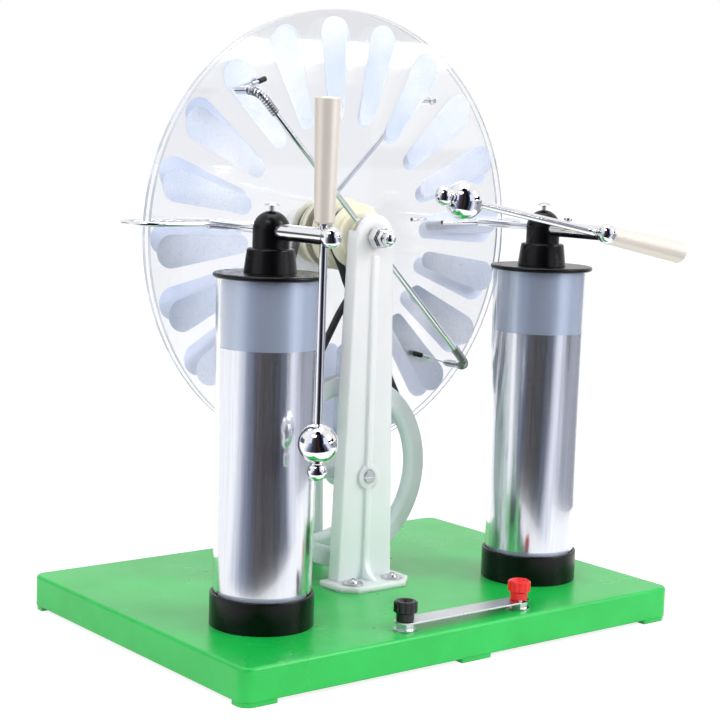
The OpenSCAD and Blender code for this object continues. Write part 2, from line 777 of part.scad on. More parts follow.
// One layer of the jar, inset from the clear tube's outer face, from height z0 to z1
module layer(inset, wall, z0, z1) {
    rotate_extrude() polygon([[tube_r(z0) - inset - wall, z0], [tube_r(z0) - inset, z0],
        [tube_r(z1) - inset, z1], [tube_r(z1) - inset - wall, z1]]);
}
module jar_tube(side) {
    color([0.80, 0.86, 0.90, 0.4]) translate([side * jar_x, jar_y, 0])
        layer(0, tube_wall, cup_floor, lid_z);
}
module outer_foils() {
    color([0.80, 0.81, 0.83]) both_sides()
        layer(outer_foil_in, foil_t, base_top + foil_low, base_top + foil_top);
}
module inner_jars() {
    color([0.66, 0.73, 0.80]) both_sides() {
        layer(inner_jar_in, inner_wall, cup_floor, lid_z);
        translate([0, 0, cup_floor])
            cylinder(r = tube_r(cup_floor) - inner_jar_in - inner_wall / 2, h = inner_wall);
    }
}
module inner_foils() {
    color([0.80, 0.81, 0.83]) both_sides()
        layer(inner_foil_in, foil_t, inner_floor + seat_gap, base_top + foil_top);
}
contact_z = base_top + 40;
contact_r = 2;
module contact_rods() {
    color("silver") both_sides() {
        cylinder_at(contact_z, head_z - arm_d / 2 - 3.6, contact_r);
        cylinder_at(contact_z, contact_z + 1, tube_r(contact_z) - inner_foil_in - foil_t - pass_gap);
    }
}
module cylinder_at(z0, z1, r) {
    translate([0, 0, z0]) cylinder(r = r, h = z1 - z0);
}
lid_r = tube_r_top + lid_over;
module jar_lid(side) {
    edge = lid_t / 2 - 0.1;
    plug_r = tube_r(lid_z - 6) - inner_jar_in - inner_wall - seat_gap;
    color([0.06, 0.06, 0.06]) translate([side * jar_x, jar_y, lid_z]) difference() {
        union() {
            rotate_extrude() {
                square([lid_r - edge, lid_t]);
                translate([0, edge]) square([lid_r, lid_t - 2 * edge]);
                for (z = [edge, lid_t - edge]) translate([lid_r - edge, z]) circle(edge);
            }
            translate([0, 0, -6]) cylinder(r = plug_r, h = 7);
        }
        translate([0, 0, -7]) cylinder(r = contact_r + seat_gap, h = 7 + lid_t + 1);
    }
}
cone_top_r = cone_r - 1.7;
module jar_head(side) {
    low = lid_z + lid_t;
    color([0.06, 0.06, 0.06]) translate([side * jar_x, jar_y, 0]) difference() {
        union() {
            translate([0, 0, low]) rotate_extrude() {
                polygon([[0, 0], [cone_r, 0], [cone_top_r, cone_h - 1.5],
                         [cone_top_r - 1.5, cone_h], [0, cone_h]]);
                translate([cone_top_r - 1.5, cone_h - 1.5]) circle(1.5);
            }
            cylinder_at(low + 1, head_z + 1, dome_r);
            translate([0, 0, head_z + 1]) sphere(dome_r);
        }
        rod_y(-2 * dome_r, 0, head_z, arm_d / 2 + run_gap);
        rod_y(0.5, 2 * dome_r, head_z, fork_rod_r + run_gap);
        cylinder_at(low - 1, head_z - arm_d / 2 - 3, contact_r + seat_gap);
        cylinder_at(head_z + arm_d / 2 + 1.2, head_z + 2 * dome_r, head_screw_r + run_gap);
    }
}
head_screw_r = 1.5;
module head_screws() {
    top = head_z + 1 + dome_r + 3.2;
    color("silver") both_sides() {
        cylinder_at(head_z + arm_d / 2 + 1.5, top, head_screw_r);
        translate([0, 0, top]) difference() {
            pan_head(4.9, 1.9);
            translate([-5, -0.4, 1.2]) cube([10, 0.8, 2]);
        }
    }
}
module jar_screws() {
    head_h = 3.4;
    color("silver") both_sides() translate([0, 0, strip_z - seat_gap]) {
        cylinder_at(0, base_top + 3 - strip_z, jar_screw_r);
        cylinder_at(-head_h, 0, 2 * jar_screw_r);
    }
}

// ---------- collectors ----------

fork_rod_r = 2.5;
fork_ball_r = 3.1;
fork_r = fork_d / 2;
module collector(side) {
    color("silver") translate([0, 0, head_z]) {
        rod_between([side * jar_x, jar_y + 1, 0], [side * jar_x, disc_y - fork_y, 0], fork_rod_r);
        translate([side * jar_x, disc_y - fork_y, 0]) rotate([0, 45, 0]) rotate([90, 0, 0])
            sphere(fork_ball_r);
        bend_x = side * (fork_out - fork_y);
        for (s = [-1, 1])
            rod_between([side * fork_in, disc_y + s * fork_y, 0], [bend_x, disc_y + s * fork_y, 0], fork_r);
        translate([bend_x, disc_y, 0]) rotate(-side * 90) rotate_extrude(angle = 180)
            translate([fork_y, 0]) circle(fork_r);
    }
}
point_l = 8;
module collector_points() {
    step = (sector_out - sector_in) / (point_n - 1);
    color("silver") for (side = [-1, 1]) for (s = [-1, 1]) for (k = [0 : point_n - 1])
        let (x = sector_in + 2 + k * step)
        // No point stands where the front rod has its joint
        if (s < 0 || abs(x - jar_x) > fork_ball_r + 1)
        translate([side * x, disc_y - s * (fork_y - fork_r - run_gap), head_z])
            rotate([-s * 90, 0, 0]) rotate_extrude()
                polygon([[0, 0], [0.6, 0], [0.6, point_l - 2], [0.1, point_l], [0, point_l]]);
}

// ---------- electrodes ----------

left_rest = 0;
right_rest = 100;
rod_y_pos = jar_y - arm_l + rod_back;
module electrode(side, rest) {
    translate([side * jar_x, 0, head_z]) rotate([0, rest, 0]) children();
}
tube_screw_y = jar_y - dome_r - 11;
module electrode_tube(side, rest) {
    ball_y = jar_y - arm_l;
    color([0.82, 0.83, 0.85]) electrode(side, rest) difference() {
        union() {
            rod_y(ball_y, jar_y - 1, 0, arm_d / 2);
            translate([0, ball_y, 0]) sphere(d = arm_ball_d);
            rod_between([0, tube_screw_y, 0], [-side * (arm_d / 2 + 1.4), tube_screw_y, 0], 1.5);
            rod_between([-side * (arm_d / 2 + 1.2), tube_screw_y, 0],
                [-side * (arm_d / 2 + 3), tube_screw_y, 0], 2.7);
        }
        rod_between([0, rod_y_pos, -arm_d], [0, rod_y_pos, arm_d], rod_d / 2 + run_gap);
    }
}
handle_from = arm_d / 2 + 2.6;
socket_l = 24;
small_reach = ball_reach + ball_d / 2 + small_ball_d / 2 - 1.4;
module electrode_rod(side, rest) {
    color([0.82, 0.83, 0.85]) electrode(side, rest) translate([0, rod_y_pos, 0]) {
        cylinder_at(-small_reach, handle_from + socket_l - 1, rod_d / 2);
        cylinder_at(handle_from - 1.1, handle_from - 0.1, 4);
        translate([0, 0, -ball_reach]) sphere(d = ball_d);
        translate([0, 0, -small_reach]) sphere(d = small_ball_d);
    }
}
module electrode_handle(side, rest) {
    color([0.88, 0.86, 0.78]) electrode(side, rest) translate([0, rod_y_pos, handle_from]) difference() {
        rotate_extrude() {
            polygon([[0, 0], [handle_d_low / 2 - 1, 0], [handle_d_low / 2, 1],
                [handle_d_top / 2, handle_l - 1], [handle_d_top / 2 - 1, handle_l], [0, handle_l]]);
        }
        translate([0, 0, -1]) cylinder(r = rod_d / 2 + run_gap, h = socket_l + 1);
    }
}

// ---------- neutralisers ----------

front_bar_angle = 135;
// A neutraliser is drawn with its bar along X and the axle at the origin, then turned to its angle
module neutraliser() {
    translate([0, 0, axle_z]) rotate([0, -front_bar_angle, 0]) children();
}
module both_ends() {
    for (turn = [0, 180]) rotate([0, turn, 0]) children();
}
ferrule_r = 2.7;
ferrule_y = bar_y + bend_r;
// Each brush: a wire from the ferrule's end, a crimp on it and a soft block that lies on the sectors
wire_r = 0.5;
crimp_l = 6;
brush_l = 6.5;
tip_r = 1.8;
wire_from = [bar_reach + bend_r, ferrule_y + ferrule_l - 1, 0];
function brush_tip(k) =
    let (r = [upper_brush_r, lower_brush_r][k], a = [upper_brush_back, lower_brush_back][k])
    [r * cos(a), disc_face - foil_t - pass_gap - tip_r, -r * sin(a)];
// The point on the line from the wire's start to the tip that lies s before the block's inner end
function brush_at(k, s) = let (tip = brush_tip(k), along = unit(tip - wire_from))
    tip - (brush_l + s) * along;
module neutraliser_bar() {
    color([0.82, 0.83, 0.85]) neutraliser() difference() {
        union() {
            rod_y(bar_y - 3, bar_y + 3, 0, collar_r);
            both_ends() {
                rod_between([0, bar_y, 0], [bar_reach, bar_y, 0], bar_d / 2);
                translate([bar_reach, ferrule_y, 0]) rotate(-90) rotate_extrude(angle = 90)
                    translate([bend_r, 0]) circle(bar_d / 2);
                translate([bar_reach + bend_r, 0, 0]) {
                    rod_y(ferrule_y - 0.5, ferrule_y + 3, 0, bar_d / 2);
                    rod_y(ferrule_y + 2, ferrule_y + ferrule_l - 3, 0, ferrule_r);
                    rod_y(ferrule_y + ferrule_l - 4, ferrule_y + ferrule_l, 0, ferrule_r - 0.9);
                }
            }
            for (k = [0, 1]) rotate([0, 180 * k, 0]) {
                rod_between(wire_from, brush_at(k, crimp_l - 1), wire_r);
                rod_between(brush_at(k, crimp_l), brush_at(k, 0), 1.2);
            }
        }
        rod_y(bar_y - 4, bar_y + 4, 0, axle_r + run_gap);
    }
}
// The bar's middle line at distance s along it, measured from the start of the bend
function bar_line(s) = s < 0 ? [bar_reach + s, bar_y, 0] :
    let (a = s / bend_r * 180 / PI) [bar_reach + bend_r * sin(a), bar_y + bend_r * (1 - cos(a)), 0];
function bar_heading(s) = let (a = s < 0 ? 0 : s / bend_r * 180 / PI) [cos(a), sin(a), 0];
spring_r = bar_d / 2 + 0.35 + spring_wire / 2;
bend_l = bend_r * PI / 2;
spring_from = -11.5;
curl_steps = 8;
function curl_point(i) =
    let (s = spring_from + (bend_l - spring_from) * i / (curl_n * curl_steps), a = 360 * i / curl_steps,
        ahead = bar_heading(s), side = [-ahead.y, ahead.x, 0])
    bar_line(s) + spring_r * (cos(a) * side + sin(a) * [0, 0, 1]);
spring_path = [for (i = [0 : curl_n * curl_steps]) curl_point(i)];
// The least distance between points of neighbouring curls, less the wire
spring_gap = min([for (i = [0 : (curl_n - 1) * curl_steps])
    norm(spring_path[i + curl_steps] - spring_path[i])])
    - spring_wire;
module spring() {
    sides = 6;
    n = len(spring_path);
    points = [for (i = [0 : n - 1])
        let (along = unit(spring_path[min(i + 1, n - 1)] - spring_path[max(i - 1, 0)]),
            s = spring_from + (bend_l - spring_from) * i / (curl_n * curl_steps),
            outward = spring_path[i] - bar_line(s),
            out = unit(outward - (outward * along) * along))
        each ring(spring_path[i], out, cross(along, out), spring_wire / 2, sides)];
    polyhedron(points, concat(tube_faces(n, sides, false), end_faces(n, sides)));
}
module neutraliser_springs() {
    color([0.70, 0.71, 0.73]) neutraliser() both_ends() spring();
}
module brushes() {
    color([0.08, 0.08, 0.08]) neutraliser() for (k = [0, 1]) rotate([0, 180 * k, 0])
        rod_between(brush_at(k, -seat_gap), brush_at(k, -brush_l), tip_r);
}

// ---------- binding posts ----------

nut_h = 3.7;
washer_h = 1;
link_t = 1;
// Room beside the stud in the strip's open slot, for the arc on which the strip swings off
slot_gap = 0.45;
link_z = base_top + washer_h + nut_h + pass_gap;
knob_z = link_z + link_t + pass_gap;
stud_top = knob_z + knob_h - 2.6;
stud_low = strip_z - 5;
module both_terms() {
    for (side = [-1, 1]) translate([side * term_x, term_y, 0]) children();
}
module terminal_studs() {
    color([0.82, 0.83, 0.85]) both_terms() difference() {
        cylinder_at(stud_low, stud_top, stud_r);
        cylinder_at(stud_top - 13, stud_top + 1, socket_d / 2);
    }
}
module terminal_nuts() {
    color("silver") both_terms() difference() {
        union() {
            cylinder_at(base_top, base_top + washer_h, 7.4);
            translate([0, 0, base_top + washer_h - 0.2]) hex_prism(10, nut_h + 0.2);
        }
        cylinder_at(base_top - 1, link_z + 1, stud_r + run_gap);
    }
    color("silver") both_terms() difference() {
        translate([0, 0, strip_z - 3.6]) hex_prism(9, 3.4);
        cylinder_at(strip_z - 5, strip_z + 1, stud_r + run_gap);
    }
}
module contact_strips() {
    color([0.78, 0.60, 0.30]) for (side = [-1, 1]) difference() {
        strip_path(side, strip_w, strip_z, strip_z + strip_t);
        translate([side * jar_x, jar_y, 0]) cylinder_at(0, base_top, jar_screw_r + run_gap);
        translate([side * term_x, term_y, 0]) cylinder_at(0, base_top, stud_r + run_gap);
    }
}
module knob(side, shade) {
    collar_h = 0.62 * knob_h;
    flutes = 12;
    color(shade) translate([side * term_x, term_y, knob_z]) difference() {
        union() {
            cylinder(d = skirt_d, h = knob_h - collar_h + 1);
            translate([0, 0, knob_h - collar_h]) cylinder(d1 = skirt_d, d2 = knob_d - 0.4, h = 1);
            translate([0, 0, knob_h - collar_h + 1]) cylinder(d = knob_d, h = collar_h - 2);
            translate([0, 0, knob_h - 1]) cylinder(d1 = knob_d, d2 = knob_d - 2, h = 1);
        }
        for (k = [0 : flutes - 1]) rotate((k + 0.5) * 360 / flutes) translate([knob_d / 2 + 0.9, 0, -1])
            cylinder(r = 1.4, h = knob_h + 2, $fn = 24);
        translate([0, 0, -1]) cylinder(r = stud_r + run_gap, h = knob_h + 2);
        translate([0, 0, knob_h - 2]) cylinder(r1 = stud_r + run_gap, r2 = stud_r + 1.8, h = 2.01);
    }
}
module link_strip() {
    slot_w = 2 * (stud_r + slot_gap);
    color([0.72, 0.73, 0.76]) translate([-term_x, term_y, link_z]) linear_extrude(link_t) difference() {
        union() {
            for (x = [0, 2 * term_x]) translate([x, 0]) circle(d = link_w);
            translate([0, -link_w / 2]) square([2 * term_x, link_w]);
        }
        circle(stud_r + run_gap);
        translate([2 * term_x, 0]) circle(d = slot_w);
        translate([2 * term_x - slot_w / 2, -link_w]) square([slot_w, link_w]);
    }
}

echo(spring_self_gap = spring_gap);
assert(spring_gap > 0.4, "the curls of a spring come too close to each other");

base_plate();
post();  // front_post
at_back() post();  // rear_post
post_screws();
post_washers();
disc_axle();
axle_nuts();
axle_spacers();
drive_bushes();
jar_foot(-1);  // left_jar_foot
jar_foot(1);  // right_jar_foot
jar_tube(-1);  // left_jar_tube
jar_tube(1);  // right_jar_tube
outer_foils();
inner_jars();
inner_foils();
contact_rods();
jar_lid(-1);  // left_jar_lid
jar_lid(1);  // right_jar_lid
jar_head(-1);  // left_jar_head
jar_head(1);  // right_jar_head
collector(-1);  // left_collector
collector(1);  // right_collector
collector_points();
head_screws();
belt(true, front_belt_y);  // front_belt
belt(false, disc_y + belt_y);  // rear_belt
terminal_studs();
terminal_nuts();
contact_strips();
jar_screws();
disc();  // front_disc
sectors(4.3);  // front_sectors
hub();  // front_hub
hub_bush();  // front_hub_bush
at_back() disc();  // rear_disc
at_back() sectors(17);  // rear_sectors
at_back() hub();  // rear_hub
at_back() hub_bush();  // rear_hub_bush
drive_shaft();
drive_wheel();  // front_drive_wheel
at_back() drive_wheel();  // rear_drive_wheel
crank_arm();
crank_pin();
crank_grip();
electrode_tube(-1, left_rest);  // left_electrode_tube
electrode_rod(-1, left_rest);  // left_electrode_rod
electrode_handle(-1, left_rest);  // left_electrode_handle
electrode_tube(1, right_rest);  // right_electrode_tube
electrode_rod(1, right_rest);  // right_electrode_rod
electrode_handle(1, right_rest);  // right_electrode_handle
neutraliser_bar();  // front_neutraliser_bar
neutraliser_springs();  // front_neutraliser_springs
brushes();  // front_brushes
at_back() neutraliser_bar();  // rear_neutraliser_bar
at_back() neutraliser_springs();  // rear_neutraliser_springs
at_back() brushes();  // rear_brushes
knob(-1, "#151515");  // black_knob
knob(1, "#e02018");  // red_knob
link_strip();
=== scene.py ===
import math

import bpy
from mathutils import Matrix, Vector

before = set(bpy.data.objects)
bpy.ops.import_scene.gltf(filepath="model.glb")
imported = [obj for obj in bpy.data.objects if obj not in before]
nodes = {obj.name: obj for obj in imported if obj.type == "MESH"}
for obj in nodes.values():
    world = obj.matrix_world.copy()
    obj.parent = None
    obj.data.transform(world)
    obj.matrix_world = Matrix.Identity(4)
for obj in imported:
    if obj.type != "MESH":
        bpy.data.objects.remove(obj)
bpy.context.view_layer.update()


# ---------- colours and node helpers ----------

def lin(r, g, b):
    """An sRGB colour of 0 to 255 as linear values."""
    out = []
    for c in (r, g, b):
        c = c / 255.0
        out.append(c / 12.92 if c <= 0.04045 else ((c + 0.055) / 1.055) ** 2.4)
    return tuple(out) + (1.0,)


WHITE = (1.0, 1.0, 1.0, 1.0)


def scaled(colour, factor):
    """A linear colour made lighter or darker, never past white."""
    return tuple(min(1.0, c * factor) for c in colour[:3]) + (1.0,)


class Build:
    """A material's node tree with short calls: add a node, set its sockets, link it."""

    def __init__(self, name):
        self.mat = bpy.data.materials.new(name)
        self.mat.use_nodes = True
        self.tree = self.mat.node_tree
        self.tree.nodes.clear()
        self.out = self.node("ShaderNodeOutputMaterial")
        self.coords = self.node("ShaderNodeTexCoord").outputs["Object"]

    def node(self, kind, **sockets):
        n = self.tree.nodes.new(kind)
        self.put(n, **sockets)
        return n

    def put(self, n, **sockets):
        for key, value in sockets.items():
            key = key.replace("_", " ")
            if isinstance(value, bpy.types.NodeSocket):
                self.tree.links.new(value, n.inputs[key])
            else:
                n.inputs[key].default_value = value

    def link(self, a, b):
        self.tree.links.new(a, b)

    def noise(self, scale, detail=4.0, rough=0.55, stretch=(1, 1, 1), distort=0.0):
        """Noise in the object's own metres, so scale is cells per metre."""
        mapping = self.node("ShaderNodeMapping", Vector=self.coords, Scale=stretch)
        n = self.node("ShaderNodeTexNoise", Vector=mapping.outputs[0], Scale=scale, Detail=detail,
                      Roughness=rough, Distortion=distort)
        return n.outputs["Fac"]

    def spread(self, value, low, high, from_low=0.3, from_high=0.7):
        """Maps from_low..from_high to low..high; noise mostly lies between 0.3 and 0.7."""
        n = self.tree.nodes.new("ShaderNodeMapRange")
        self.link(value, n.inputs[0])
        for i, v in enumerate((from_low, from_high, low, high)):
            n.inputs[i + 1].default_value = v
        return n.outputs[0]

    def ramp(self, value, *stops):
        n = self.tree.nodes.new("ShaderNodeValToRGB")
        ramp = n.color_ramp
        while len(ramp.elements) < len(stops):
            ramp.elements.new(0.5)
        for e, (pos, colour) in zip(ramp.elements, stops):
            e.position = pos
            e.color = colour
        self.link(value, n.inputs[0])
        return n.outputs[0]

    def math(self, op, a, b=0.5):
        n = self.tree.nodes.new("ShaderNodeMath")
        n.operation = op
        for i, v in enumerate((a, b)):
            if isinstance(v, bpy.types.NodeSocket):
                self.link(v, n.inputs[i])
            else:
                n.inputs[i].default_value = v
        return n.outputs[0]

    def blend(self, factor, first, second):
        """A colour between two, each a socket or four numbers."""
        n = self.tree.nodes.new("ShaderNodeMix")
        n.data_type = "RGBA"
        self.link(factor, n.inputs[0])
        for i, v in ((6, first), (7, second)):
            if isinstance(v, bpy.types.NodeSocket):
                self.link(v, n.inputs[i])
            else:
                n.inputs[i].default_value = v
        return n.outputs[2]

    def facing(self):
        """How far the surface faces +Y, from -1 to 1."""
        normal = self.node("ShaderNodeTexCoord").outputs["Normal"]
        return self.node("ShaderNodeSeparateXYZ", Vector=normal).outputs["Y"]

    def round_edges(self, radius):
        n = self.tree.nodes.new("ShaderNodeBevel")
        n.samples = 4
        n.inputs["Radius"].default_value = radius
        return n.outputs[0]

    def bump(self, height, strength, distance, normal=None):
        n = self.node("ShaderNodeBump", Strength=strength, Distance=distance, Height=height)
        if normal is not None:
            self.link(normal, n.inputs["Normal"])
        return n.outputs[0]

    def finish(self, shader):
        self.link(shader, self.out.inputs["Surface"])
        return self.mat


def clear_shadow(b, shader, tint):
    """Lets light through a clear piece, so that it throws only a faint shadow."""
    path = b.node("ShaderNodeLightPath")
    through = b.node("ShaderNodeBsdfTransparent", Color=tint)
    mix = b.node("ShaderNodeMixShader")
    b.link(path.outputs["Is Shadow Ray"], mix.inputs[0])
    b.link(shader, mix.inputs[1])
    b.link(through.outputs[0], mix.inputs[2])
    return mix.outputs[0]


# ---------- materials ----------

def moulded(name, colour, rough, specks=0.05, grain=900.0, depth=0.00004, edge=0.0005, metal=0.0, sub=0.0,
            gloss=0.5):
    """Moulded plastic: slight colour drift, fine surface grain and softened edges; sub lets light into it."""
    b = Build(name)
    tone = b.ramp(b.noise(45.0, 5.0), (0.3, scaled(colour, 1.0 - specks)), (0.7, scaled(colour, 1.0 + specks)))
    normal = b.bump(b.noise(grain, 3.0), 0.20, depth, b.round_edges(edge))
    shader = b.node("ShaderNodeBsdfPrincipled", Base_Color=tone, Normal=normal)
    b.link(b.spread(b.noise(60.0, 2.0), rough * 0.93, rough * 1.07), shader.inputs["Roughness"])
    shader.inputs["Metallic"].default_value = metal
    shader.inputs["Specular IOR Level"].default_value = gloss
    if sub:
        shader.inputs["Subsurface Weight"].default_value = sub
        shader.inputs["Subsurface Radius"].default_value = (1.0, 1.0, 1.0)
        shader.inputs["Subsurface Scale"].default_value = 0.004
    return b.finish(shader.outputs[0])


def base_green():
    """The base's bright green plastic, with a fine pebbled grain and slightly uneven gloss."""
    b = Build("green_moulding")
    tone = b.ramp(b.noise(30.0, 6.0), (0.3, lin(16, 178, 68)), (0.7, lin(26, 190, 80)))
    pebble = b.tree.nodes.new("ShaderNodeTexVoronoi")
    b.put(pebble, Vector=b.coords, Scale=900.0)
    height = b.math("ADD", pebble.outputs["Distance"], b.noise(420.0, 3.0))
    normal = b.bump(height, 0.45, 0.00006, b.round_edges(0.0014))
    shader = b.node("ShaderNodeBsdfPrincipled", Base_Color=tone, Normal=normal)
    b.link(b.spread(b.noise(24.0, 2.0, 0.5), 0.26, 0.32), shader.inputs["Roughness"])
    return b.finish(shader.outputs[0])


def milky():
    """The posts' milky plastic: light enters it, so its edges are soft. Low down it has a painted shade, darker
    and greener, that stands in for the shade and the green light bounced off the base.
    """
    b = Build("milky_post")
    height = b.node("ShaderNodeSeparateXYZ", Vector=b.coords).outputs["Z"]
    # painted shade: the posts turn darker and greener towards the bottom, near the green base, ramped by height;
    # the noise adds real cloudiness
    painted_shade_fade = b.spread(height, 0.0, 1.0, 0.02, 0.27)
    cloud_and_painted_shade = b.math("ADD", painted_shade_fade, b.math("MULTIPLY", b.noise(22.0, 2.0), 0.25))
    tone = b.ramp(cloud_and_painted_shade, (0.10, lin(232, 244, 244)), (0.75, lin(246, 249, 253)))
    normal = b.bump(b.noise(160.0, 2.0), 0.12, 0.00004, b.round_edges(0.0022))
    shader = b.node("ShaderNodeBsdfPrincipled", Base_Color=tone, Normal=normal)
    shader.inputs["Subsurface Weight"].default_value = 0.85
    shader.inputs["Subsurface Radius"].default_value = (0.9, 1.0, 1.0)
    shader.inputs["Subsurface Scale"].default_value = 0.010
    b.link(b.spread(b.noise(90.0, 3.0), 0.30, 0.38), shader.inputs["Roughness"])
    return b.finish(shader.outputs[0])


def acrylic(name, tint, rim=None):
    """Clear acrylic with faint wiping marks; a disc's sawn rim is paler and less clear than its faces."""
    b = Build(name)
    hair = b.noise(40.0, 3.0, 0.5, (1.0, 1.0, 6.0), 0.6)
    normal = b.bump(hair, 0.04, 0.00002)
    tone = b.ramp(b.noise(8.0, 2.0), (0.3, tint), (0.7, scaled(tint, 1.01)))
    shader = b.node("ShaderNodeBsdfPrincipled", Base_Color=tone, Normal=normal, IOR=1.49)
    shader.inputs["Transmission Weight"].default_value = 1.0
    b.link(b.spread(hair, 0.02, 0.032), shader.inputs["Roughness"])
    if rim:
        edge = b.spread(b.math("ABSOLUTE", b.facing()), 1.0, 0.0, 0.2, 0.8)
        b.link(b.blend(edge, tone, rim), shader.inputs["Base Color"])
        b.link(b.spread(edge, 1.0, 0.25, 0.0, 1.0), shader.inputs["Transmission Weight"])
    return b.finish(clear_shadow(b, shader.outputs[0], (0.985, 0.987, 0.995, 1.0)))


def frosted(name, colour):
    """The inner jar: smooth satin plastic over foil, so its gloss is broad and partly metallic."""
    b = Build(name)
    tone = b.ramp(b.noise(9.0, 2.0), (0.3, colour), (0.7, scaled(colour, 1.06)))
    normal = b.bump(b.noise(300.0, 2.0), 0.05, 0.00002)
    shader = b.node("ShaderNodeBsdfPrincipled", Base_Color=tone, Normal=normal)
    shader.inputs["Metallic"].default_value = 0.62
    b.link(b.spread(b.noise(40.0, 2.0), 0.30, 0.36), shader.inputs["Roughness"])
    return b.finish(shader.outputs[0])


def plated(name, colour, rough, smudge):
    """Plated or polished metal: fine lines of the polishing and a few dull smudges."""
    b = Build(name)
    lines = b.noise(500.0, 3.0, 0.5, (1.0, 1.0, 0.2))
    normal = b.bump(lines, 0.06, 0.00002, b.round_edges(0.0003))
    tone = b.ramp(b.noise(40.0, 4.0), (0.3, scaled(colour, 0.96)), (0.7, colour))
    shader = b.node("ShaderNodeBsdfPrincipled", Base_Color=tone, Metallic=1.0, Normal=normal)
    b.link(b.spread(b.noise(70.0, 5.0, 0.6), rough, rough + smudge, 0.35, 0.75), shader.inputs["Roughness"])
    return b.finish(shader.outputs[0])


def brushed_foil():
    """The jars' aluminium foil: faint upright grain and soft upright waves in a satin gloss."""
    b = Build("brushed_foil")
    grain = b.noise(420.0, 4.0, 0.55, (3.0, 3.0, 0.03))
    waves = b.noise(30.0, 2.0, 0.5, (1.0, 1.0, 0.12))
    height = b.math("ADD", b.math("MULTIPLY", grain, 0.02), waves)
    normal = b.bump(height, 0.22, 0.0004)
    tone = b.ramp(grain, (0.25, lin(222, 224, 230)), (0.75, lin(240, 241, 246)))
    shader = b.node("ShaderNodeBsdfPrincipled", Base_Color=tone, Metallic=0.95, Normal=normal)
    b.link(b.spread(grain, 0.15, 0.19), shader.inputs["Roughness"])
    return b.finish(shader.outputs[0])


def sector_foil(name, low, high, glued, glow):
    """The discs' foil sectors: thin, with a fine speckle of trapped air.

    The glued side is matt, and glows faintly in place of the light that the renderer loses inside the
    discs. glued is 1 where that side faces +Y and -1 where it faces -Y.
    """
    b = Build(name)
    speck = b.noise(1500.0, 3.0, 0.6)
    soft = b.noise(14.0, 3.0, 0.5)
    height = b.math("ADD", b.math("MULTIPLY", speck, 0.3), b.noise(70.0, 2.0))
    normal = b.bump(height, 0.16, 0.0002)
    tone = b.ramp(b.math("ADD", b.math("MULTIPLY", speck, 0.25), b.math("MULTIPLY", soft, 0.75)),
                  (0.35, low), (0.62, high))
    shader = b.node("ShaderNodeBsdfPrincipled", Base_Color=tone, Normal=normal)
    side = b.math("MULTIPLY", b.facing(), glued)
    b.link(b.spread(side, 0.85, 0.0, -0.5, 0.5), shader.inputs["Metallic"])
    b.link(tone, shader.inputs["Emission Color"])
    b.link(b.spread(side, 0.0, glow, -0.5, 0.5), shader.inputs["Emission Strength"])
    b.link(b.spread(speck, 0.26, 0.36), shader.inputs["Roughness"])
    return b.finish(shader.outputs[0])


def rubber():
    """The belts' dusty black rubber."""
    b = Build("belt_rubber")
    dust = b.noise(180.0, 5.0, 0.6)
    tone = b.ramp(dust, (0.3, lin(20, 20, 22)), (0.8, lin(40, 40, 42)))
    shader = b.node("ShaderNodeBsdfPrincipled", Base_Color=tone, Normal=b.bump(b.noise(900.0, 2.0), 0.3, 0.00005))
    b.link(b.spread(dust, 0.42, 0.58), shader.inputs["Roughness"])
    return b.finish(shader.outputs[0])


green = base_green()
post = milky()
disc = acrylic("disc_acrylic", (0.945, 0.95, 0.965, 1.0), rim=lin(226, 230, 240))
tube = acrylic("tube_acrylic", (0.96, 0.965, 0.975, 1.0))
inner = frosted("inner_jar", lin(180, 191, 210))
foil = brushed_foil()
sector = sector_foil("sector_foil", lin(206, 216, 236), lin(244, 247, 253), 1.0, 0.42)
far_sector = sector_foil("far_sector_foil", lin(216, 224, 240), lin(246, 249, 254), -1.0, 0.45)
chrome = plated("chrome", (0.86, 0.86, 0.88, 1.0), 0.04, 0.03)
plain_steel = plated("zinc_steel", (0.62, 0.63, 0.65, 1.0), 0.24, 0.10)
spring_steel = plated("spring_steel", (0.42, 0.42, 0.44, 1.0), 0.20, 0.10)
strip_metal = plated("strip_metal", (0.66, 0.67, 0.70, 1.0), 0.26, 0.12)
brass = plated("brass", (0.72, 0.50, 0.20, 1.0), 0.22, 0.12)
cream = moulded("cream_plastic", lin(240, 236, 212), 0.32, 0.02, sub=0.3)
white = moulded("white_plastic", lin(238, 245, 247), 0.30, 0.02, edge=0.0008, sub=0.5)
handle = moulded("handle_lacquer", lin(228, 219, 208), 0.34, 0.01, depth=0.000002, edge=0.0006, metal=0.35)
black = moulded("black_plastic", lin(5, 5, 7), 0.28, 0.15, grain=1200.0, depth=0.00002, edge=0.0006, gloss=0.28)
black_knob = moulded("black_knob_plastic", lin(14, 14, 15), 0.28, 0.15)
red_knob = moulded("red_knob_plastic", lin(222, 24, 22), 0.28, 0.06)
belt = rubber()

